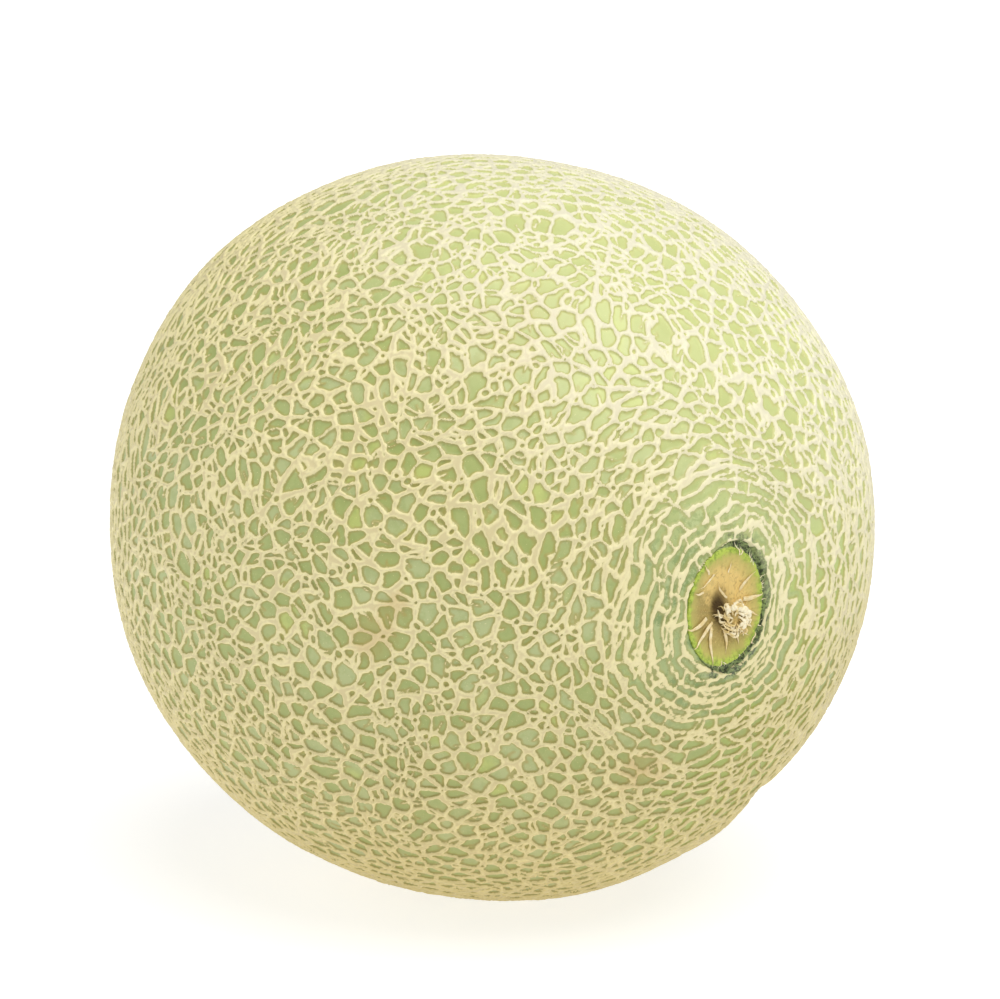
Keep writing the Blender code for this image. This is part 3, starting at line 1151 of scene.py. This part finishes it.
def makeCore():
    dice = random.Random(core["seed"])
    maker = StrandMaker()
    x, z = scarFace["core"][:2]
    for number in range(core["wall"]):
        turn = math.radians(-50 + 200 * number / (core["wall"] - 1) + dice.uniform(-7, 7))
        reach = dice.uniform(1.5, 2.3)
        start = (x + reach * math.sin(turn - 0.2), z + reach * math.cos(turn - 0.2))
        out = reach + dice.uniform(0.3, 0.8)
        end = (x + out * math.sin(turn + 0.3), z + out * math.cos(turn + 0.3))
        layStrand(maker, start, end, dice.uniform(0.9, 1.3), dice.uniform(-0.2, 0.2), 0.7 * mm,
                  dice.uniform(0.3, 0.7) * mm, dice.uniform(0.7, 1.0), blunt=True)
    for number in range(core["curls"]):
        turn = dice.uniform(0, 2 * math.pi)
        reach = dice.uniform(0.3, 2.2)
        start = (x - 0.2 + reach * math.sin(turn), z - 0.3 + reach * math.cos(turn) * 1.15)
        onward = turn + dice.uniform(0.7, 2.2)
        length = dice.uniform(0.8, 1.7)
        end = (start[0] + length * math.sin(onward), start[1] + length * math.cos(onward))
        layStrand(maker, start, end, dice.uniform(0.34, 0.6), dice.uniform(0.3, 0.9), 0.4 * mm,
                  dice.uniform(0.2, 1.0) * mm, dice.uniform(0.2, 0.85), blunt=True)
    for number in range(core["wisps"]):
        turn = math.radians(dice.uniform(120, 300))
        start = (x + 2.0 * math.sin(turn), z + 2.2 * math.cos(turn))
        length = dice.uniform(1.0, 2.3)
        slanted = turn + dice.uniform(-0.5, 0.5)
        end = (start[0] + length * math.sin(slanted), start[1] + length * math.cos(turn))
        layStrand(maker, start, end, dice.uniform(0.35, 0.6), dice.uniform(-0.6, 0.6), 0.35 * mm,
                  dice.uniform(0.1, 0.6) * mm, dice.uniform(0.2, 0.7))
    for number in range(core["threads"]):
        turn = math.radians(scar["openSide"] + dice.uniform(-88, 92))
        near, far = dice.uniform(9.1, 9.6), dice.uniform(10.8, 12.2)
        bend = dice.uniform(-0.25, 0.25)
        onward = turn + dice.uniform(-0.12, 0.12)
        start = (near * math.sin(turn) * 0.92, near * math.cos(turn) * 1.09)
        end = (far * math.sin(onward) * 0.94, far * math.cos(onward) * 1.07)
        layStrand(maker, start, end, dice.uniform(0.16, 0.3), bend, 0.1 * mm, dice.uniform(0.0, 0.25) * mm,
                  dice.uniform(0.5, 1.0))
    return maker.finish("torn-core")


class Socket:
    # one output of a node; operators add Math nodes
    tree = None

    def __init__(self, link):
        self.link = link

    @staticmethod
    def node(kind, settings=None, values=None, out=0):
        made = Socket.tree.nodes.new(kind)
        for name, value in (settings or {}).items():
            setattr(made, name, value)
        for name, value in (values or {}).items():
            target = made.inputs[name]
            if isinstance(value, Socket):
                Socket.tree.links.new(value.link, target)
            else:
                target.default_value = value
        return Socket(made.outputs[out])

    @staticmethod
    def maths(operation, *values):
        return Socket.node("ShaderNodeMath", {"operation": operation}, dict(enumerate(values)))

    def __add__(self, other):
        return Socket.maths("ADD", self, other)

    def __radd__(self, other):
        return Socket.maths("ADD", other, self)

    def __sub__(self, other):
        return Socket.maths("SUBTRACT", self, other)

    def __rsub__(self, other):
        return Socket.maths("SUBTRACT", other, self)

    def __mul__(self, other):
        return Socket.maths("MULTIPLY", self, other)

    def __rmul__(self, other):
        return Socket.maths("MULTIPLY", other, self)


def smoothStep(value, low, high):
    settings = {"interpolation_type": "SMOOTHSTEP"}
    return Socket.node("ShaderNodeMapRange", settings, {"Value": value, "From Min": low, "From Max": high})


def mixColour(share, first, second, blend="MIX"):
    settings = {"data_type": "RGBA", "blend_type": blend}
    return Socket.node("ShaderNodeMix", settings, {0: share, 6: first, 7: second}, out=2)


def vectorNumber(operation, *values):  # a number worked out from vectors
    return Socket.node("ShaderNodeVectorMath", {"operation": operation}, dict(enumerate(values)), out=1)


def srgb(red, green, blue):  # screen values 0 to 255 to linear light
    def linear(value):
        value = value / 255
        return value / 12.92 if value <= 0.04045 else ((value + 0.055) / 1.055) ** 2.4
    return (linear(red), linear(green), linear(blue), 1.0)


def attribute(name):
    return Socket.node("ShaderNodeAttribute", {"attribute_name": name}, out=2)


def objectPlace():
    return Socket.node("ShaderNodeTexCoord", out=3)


def noise(place, scale, detail, roughness):
    values = {"Vector": place, "Scale": scale, "Detail": detail, "Roughness": roughness}
    return Socket.node("ShaderNodeTexNoise", None, values)


def varied(value, texture, amount):  # moves a value up and down by a texture that runs from 0 to 1
    return value + (texture - 0.5) * amount


def newMaterial(name, **constants):
    material = bpy.data.materials.new(name)
    material.use_nodes = True
    Socket.tree = material.node_tree
    shader = material.node_tree.nodes["Principled BSDF"]
    for socket, value in constants.items():
        shader.inputs[socket].default_value = value
    return material, shader


def plug(shader, name, value):
    Socket.tree.links.new(value.link, shader.inputs[name])


def plugBump(shader, height, strength, distance):
    values = {"Strength": strength, "Distance": distance, "Height": height}
    plug(shader, "Normal", Socket.node("ShaderNodeBump", None, values))


rind = {
    "lime": srgb(188, 198, 116),
    "leaf": srgb(168, 179, 110),
    "sage": srgb(183, 192, 136),
    "deep": srgb(148, 166, 92),
    "fresh": srgb(166, 185, 84),
    # olive-brown: painted shade at the ridges' feet, partly their own edge colour; also the tint of the tan
    # smears
    "foot": srgb(174, 160, 88),
    "stemGreen": srgb(168, 184, 136),
    "stemMoss": srgb(116, 142, 80),
    # painted shade beside the crevice, with lighter spots in it
    "gloom": srgb(76, 86, 60),
    "gloomSpot": srgb(148, 164, 108),
    "rim": srgb(237, 227, 175),
    "crest": srgb(216, 203, 154),
    "tan": srgb(216, 192, 138),
    "bruise": srgb(140, 112, 66),
    # the lower part's tint: partly the ground spot, partly painted shade
    "groundSpotAndShade": (0.84, 0.77, 0.62, 1.0),
    # painted light: the paler cork and floor colours for the side towards the key lamp
    "pale": srgb(253, 252, 234),
    "litFloor": srgb(236, 242, 168),
    "litWay": (0.45, -0.33, 0.83),  # painted light: the side towards the key lamp is painted paler
    "paintedLightReach": (0.0765, 0.137),    # how far out that way it starts and ends, in metres
    "paintedLightShare": 0.62,
    "groundSpotAndShadeTop": 0.078,               # how high the browner, darker lower part reaches, in metres
    "stemReach": (12, 30),           # over which the stem end's own greens fade, in mm
    "floorRoughness": 0.36,
    "corkRoughness": 0.52,
    "bump": (0.4, 0.25 * mm),        # strength and distance
}


def rindGreen(place, patch, tone, nearStem, warmth):  # the smooth floors between the ridges
    green = mixColour(smoothStep(tone, 0.35, 0.75), rind["leaf"], rind["sage"])
    green = mixColour(smoothStep(tone * 0.5 + patch, 0.96, 1.08), green, rind["lime"])
    cloud = smoothStep(noise(place, 480, 3, 0.6), 0.42, 0.66)
    green = mixColour(cloud * 0.30, green, rind["deep"])
    green = mixColour(nearStem * 0.5, green, rind["stemGreen"])
    moss = smoothStep(varied(noise(place, 620, 3, 0.65), tone, 0.2), 0.47, 0.62)
    green = mixColour(moss * nearStem * 0.8, green, rind["stemMoss"])
    fresh = smoothStep(varied(attribute("fresh"), tone, 0.5), 0.25, 0.8)
    green = mixColour(fresh * 0.8, green, rind["fresh"])
    green = mixColour(warmth * 0.45, green, rind["foot"])
    speck = smoothStep(noise(place, 3300, 1, 0.5), 0.70, 0.76)
    return mixColour(speck * 0.55, green, rind["rim"])


def rindCork(grain, crest, nearStem, warmth, button):  # the ridges, and the pad at the blossom end
    corky = mixColour(crest * (1 - nearStem), rind["rim"], rind["crest"])
    corky = mixColour(smoothStep(grain, 0.45, 0.8) * 0.2, corky, rind["tan"])
    corky = mixColour(warmth * 0.6, corky, rind["tan"])
    corky = mixColour(button * 0.7, corky, rind["tan"])
    bruise = smoothStep(varied(attribute("bruise"), grain, 0.5), 0.3, 0.8)
    return mixColour(bruise * 0.75, corky, rind["bruise"])


def makeRind():
    material, shader = newMaterial("netted rind", IOR=1.5)
    place = objectPlace()
    edge = attribute("edge")
    tone = attribute("tone")
    grain = noise(place, 2400, 3, 0.6)
    patch = noise(place, 55, 2, 0.5)
    ragged = varied(varied(edge, grain, 0.24), noise(place, 1250, 2, 0.5), 0.22)
    cork = smoothStep(ragged, -0.06, 0.09)
    # painted shade at the ridges' feet, partly their own olive-brown edge colour
    foot = smoothStep(ragged, -0.50, -0.08)
    crest = smoothStep(varied(varied(edge, patch, 0.4), grain, 0.2), 0.18, 0.5)
    nearStem = 1 - smoothStep(attribute("fromStem"), *rind["stemReach"])
    warmth = smoothStep(varied(attribute("warm"), noise(place, 240, 3, 0.6), 1.2), 0.25, 0.8)
    button = smoothStep(varied(attribute("pad"), grain, 0.4), 0.3, 0.7)

    green = rindGreen(place, patch, tone, nearStem, warmth)
    # the floors darken to olive-brown at the ridges' feet: painted shade, partly their own colour
    green = mixColour(foot * (0.7 - nearStem * 0.3), green, rind["foot"])
    corky = rindCork(grain, crest, nearStem, warmth, button)
    tones = mixColour(cork, green, corky)
    tones = mixColour(button, tones, corky)
    # painted shade: the floors beside the open crevice are painted dark and blotchy
    gloom = smoothStep(varied(attribute("gloom"), noise(place, 900, 3, 0.6), 0.9), 0.25, 0.6) * (1 - cork)
    gloomy = mixColour(smoothStep(noise(place, 1500, 3, 0.7), 0.42, 0.58), rind["gloom"], rind["gloomSpot"])
    tones = mixColour(gloom, tones, gloomy)

    # the lower part is painted browner and darker: partly the ground spot where it lay, partly painted
    # shade
    height = Socket.node("ShaderNodeSeparateXYZ", None, {"Vector": place}, out=2)
    groundSpotAndShade = 1 - smoothStep(varied(height, patch, 0.03), 0.0, rind["groundSpotAndShadeTop"])
    tones = mixColour(groundSpotAndShade, tones, rind["groundSpotAndShade"], blend="MULTIPLY")
    # painted light: towards the key lamp the colours are painted paler, the cork almost white
    towardLight = varied(vectorNumber("DOT_PRODUCT", place, rind["litWay"]), patch, 0.02)
    paintedLight = smoothStep(towardLight, *rind["paintedLightReach"]) * rind["paintedLightShare"]
    tones = mixColour(paintedLight, tones, mixColour(cork, rind["litFloor"], rind["pale"]))
    plug(shader, "Base Color", tones)

    rough = cork * (rind["corkRoughness"] - rind["floorRoughness"]) + rind["floorRoughness"]
    plug(shader, "Roughness", rough)
    # sharpens the ridges' shape, which the mesh rounds off, and roughens the cork
    tall = smoothStep(edge, -0.25, 0.2) * 0.9 - crest * 0.25 + grain * (cork * 0.22 + 0.05)
    plugBump(shader, tall, *rind["bump"])
    return material


scarTones = {
    # painted light: the scar face's gold towards its lit upper right, olive on the other side
    "litGold": srgb(232, 202, 126),
    "olive": srgb(172, 152, 88),
    "brown": srgb(160, 130, 70),
    # painted shade: the dark brown of the hollow
    "hollowShade": srgb(78, 58, 20),
    "lip": srgb(182, 200, 84),
    "lipDark": srgb(134, 158, 56),
    "lipInner": srgb(190, 180, 100),
    "crevice": srgb(146, 162, 106),
    # painted shade: the dark spots in the crevice
    "darkShade": srgb(64, 72, 50),
    "fibre": srgb(224, 198, 130),
    "pale": srgb(248, 238, 206),
    "bump": (0.5, 0.2 * mm),  # strength and distance
    "fibreBump": (0.4, 0.1 * mm),
}


def scarCrevice(place, mottle):  # the green skin outside the lip, with painted shade in the crevice
    darkShade = smoothStep(noise(place, 1500, 3, 0.7), 0.40, 0.58)
    gloom = mixColour(darkShade, scarTones["darkShade"], scarTones["crevice"])
    deep = smoothStep(varied(attribute("crevice"), mottle, 0.4), 0.02, 0.3)
    return mixColour(deep, rind["stemGreen"], gloom)


def makeScarMaterial():
    material, shader = newMaterial("stem scar", IOR=1.45, Roughness=0.7)
    place = objectPlace()
    mottle = noise(place, 520, 4, 0.65)
    grain = noise(place, 2600, 2, 0.6)
    fleck = noise(place, 1500, 3, 0.7)
    fromEdge = attribute("fromEdge")
    # painted light: lighter gold towards the upper right of the face
    litGold = smoothStep(varied(attribute("litGold"), mottle, 1.7), 0.2, 0.9)
    face = mixColour(litGold, scarTones["olive"], scarTones["litGold"])
    brown = smoothStep(varied(attribute("wrinkle") * 0.5, fleck, 6.0), 0.0, 1.2)
    face = mixColour(brown * 0.6, face, scarTones["brown"])
    face = mixColour(smoothStep(grain, 0.56, 0.70) * 0.5, face, scarTones["fibre"])
    # painted shade: the hollow beside the torn core is painted dark brown
    hollow = smoothStep(varied(attribute("hollow"), mottle, 0.5), 0.15, 1.0)
    face = mixColour(hollow, face, scarTones["hollowShade"])
    nearLip = smoothStep(varied(fromEdge, mottle, 3.4), -4.2, -1.2)
    face = mixColour(nearLip * 0.85, face, scarTones["lipInner"])
    lipTone = smoothStep(varied(attribute("crinkle") * 0.6, fleck, 6.0), -0.9, 0.6)
    lip = mixColour(lipTone, scarTones["lipDark"], scarTones["lip"])
    onLip = smoothStep(varied(varied(fromEdge, mottle, 2.4), fleck, 1.6), -1.7, -0.3)
    face = mixColour(onLip, face, lip)
    pastLip = smoothStep(varied(fromEdge, grain, 0.3), 0.05, 0.3)
    plug(shader, "Base Color", mixColour(pastLip, face, scarCrevice(place, mottle)))
    plugBump(shader, mottle + grain * 0.4, *scarTones["bump"])
    return material


def makeFibreMaterial():
    material, shader = newMaterial("torn fibre", IOR=1.45, Roughness=0.65)
    place = objectPlace()
    pale = smoothStep(varied(attribute("pale"), noise(place, 900, 3, 0.6), 1.2), 0.1, 0.9)
    plug(shader, "Base Color", mixColour(pale, scarTones["fibre"], scarTones["pale"]))
    plugBump(shader, noise(place, 3800, 2, 0.6), *scarTones["fibreBump"])
    return material


stage = {
    "floorSize": 8.0,
    "floorTone": (0.5, 0.5, 0.5, 1.0),
    "floorRoughness": 0.9,
    "floorGlow": (0.72, 1.0),   # beside the melon and far off
    "glowReach": (0.25, 1.1),
    "skyStrength": 0.24,
    "azimuth": -34.2,
    "elevation": 14.0,
    "distance": 1.1,
    "lens": 198.0,
    "sensor": 36.0,
    "clip": (0.01, 20.0),
    "aimRight": 2.4 * mm,   # the melon stands a little left of and below the middle
    "aimUp": 4.6 * mm,
}

# azimuth, elevation, distance, size, power and tint
lamps = {
    "key": (5, 66, 3.0, 3.2, 86.0, (1.0, 0.995, 0.98)),
    "fill": (-120, 24, 1.4, 1.2, 4.6, (1.0, 0.985, 0.95)),
}


def makeFloor():
    bpy.ops.mesh.primitive_plane_add(size=stage["floorSize"], location=(0, 0, 0))
    floor = bpy.context.object
    floor.name = "floor"
    material, shader = newMaterial("pale floor", Roughness=stage["floorRoughness"])
    shader.inputs["Base Color"].default_value = stage["floorTone"]
    shader.inputs["Emission Strength"].default_value = 1.0
    near, far = stage["floorGlow"]
    glow = smoothStep(vectorNumber("LENGTH", objectPlace()), *stage["glowReach"])
    plug(shader, "Emission Color", mixColour(glow, (near, near, near, 1), (far, far, far, 1)))
    floor.data.materials.append(material)


def stageWay(azimuth, elevation):  # from the melon towards a lamp or the camera, angles in degrees
    a, e = math.radians(azimuth), math.radians(elevation)
    return Vector((math.sin(a) * math.cos(e), -math.cos(a) * math.cos(e), math.sin(e)))


def placeThing(name, data, place, turned):
    thing = bpy.data.objects.new(name, data)
    thing.location = place
    thing.rotation_mode = "QUATERNION"
    thing.rotation_quaternion = turned
    bpy.context.scene.collection.objects.link(thing)
    return thing


def addLamp(name, azimuth, elevation, distance, size, power, tint):
    lamp = bpy.data.lights.new(name, "AREA")
    lamp.shape = "DISK"
    lamp.size = size
    lamp.energy = power
    lamp.color = tint
    way = stageWay(azimuth, elevation)
    placeThing(name, lamp, Vector(melonMiddle) + way * distance, way.to_track_quat("Z", "Y"))


def makeCamera():
    back = stageWay(stage["azimuth"], stage["elevation"])
    sideways = Vector((0, 0, 1)).cross(back).normalized()
    aim = Vector(melonMiddle) + sideways * stage["aimRight"] + back.cross(sideways) * stage["aimUp"]
    place = Vector(melonMiddle) + back * stage["distance"]
    data = bpy.data.cameras.new("camera")
    data.lens = stage["lens"]
    data.sensor_width = stage["sensor"]
    data.clip_start, data.clip_end = stage["clip"]
    turned = (aim - place).to_track_quat("-Z", "Y")
    bpy.context.scene.camera = placeThing("camera", data, place, turned)


def makeStage():
    makeFloor()
    for name, settings in lamps.items():
        addLamp(name, *settings)
    world = bpy.data.worlds.new("studio")
    world.use_nodes = True
    sky = world.node_tree.nodes["Background"]
    sky.inputs["Color"].default_value = (1, 1, 1, 1)
    sky.inputs["Strength"].default_value = stage["skyStrength"]
    bpy.context.scene.world = world
    bpy.context.scene.view_settings.view_transform = "Standard"
    makeCamera()
    print("stage: ready")


makeSkin().data.materials.append(makeRind())
makeScar().data.materials.append(makeScarMaterial())
fibreMaterial = makeFibreMaterial()
makeFibres().data.materials.append(fibreMaterial)
makeCore().data.materials.append(fibreMaterial)
makeStage()
